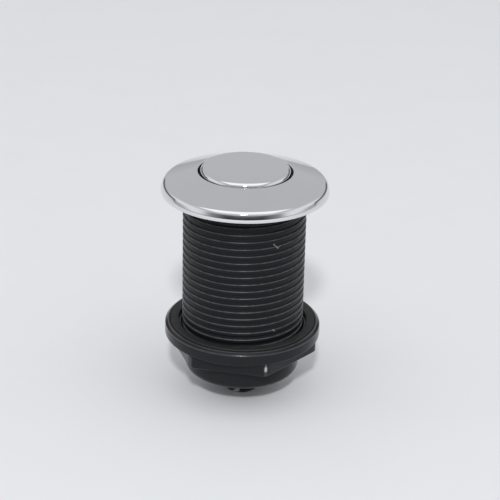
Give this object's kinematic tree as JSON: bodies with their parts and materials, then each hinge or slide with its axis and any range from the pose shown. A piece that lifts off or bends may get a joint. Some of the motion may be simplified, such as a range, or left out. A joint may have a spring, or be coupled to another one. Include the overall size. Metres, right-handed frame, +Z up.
{
  "type": "air switch button",
  "caption": "Deck-mounted air switch button: chrome push button in a domed round trim over a black threaded barrel with a flanged hex nut, sprung plunger, air bellows and tube socket.",
  "frame": {"origin": "on the barrel's axis, in the plane of the deck surface that the trim flange seats on", "axes": "+Z up along the barrel's axis, out of the deck towards the button; -Y is the side the picture looks from"},
  "size_m": [0.0444, 0.0444, 0.0651],
  "materials": {
    "trim_chrome": "polished chrome plate",
    "button_chrome": "polished chrome plate",
    "gasket_rubber": "matt black rubber",
    "plunger_plastic": "natural acetal",
    "spring_steel": "bright drawn wire",
    "bellows_rubber": "moulded black rubber",
    "barrel_plastic": "moulded black plastic, semi-gloss",
    "base_plastic": "moulded black plastic, semi-gloss",
    "washer_rubber": "matt black rubber",
    "nut_plastic": "moulded black plastic, smooth"
  },
  "bodies": {
    "housing": {"trim_flange": "trim_chrome", "deck_gasket": "gasket_rubber", "threaded_barrel": "barrel_plastic", "base_cap": "base_plastic", "bellows": "bellows_rubber", "return_spring": "spring_steel"},
    "button": {"button_cap": "button_chrome", "plunger": "plunger_plastic"},
    "washer": {"nut_washer": "washer_rubber"},
    "nut": {"mounting_nut": "nut_plastic"}
  },
  "joints": [
    {"name": "button_press", "type": "slide", "parent": "housing", "child": "button", "axis": [0, 0, -1], "range_m": [0, 0.004], "stiffness_N_per_m": 800, "springref_m": -0.004, "deforming": ["return_spring", "bellows"]},
    {"name": "nut_travel", "type": "slide", "parent": "housing", "child": "washer", "axis": [0, 0, 1], "range_m": [-0.003, 0.033]},
    {"name": "nut_turn", "type": "hinge", "parent": "washer", "child": "nut", "pos_m": [0, 0, -0.0374], "axis": [0, 0, 1], "range_deg": [-540, 5940]}
  ],
  "couplings": [
    {"joint": "nut_travel", "follows": "nut_turn", "m_per_rad": 0.00031831}
  ]
}
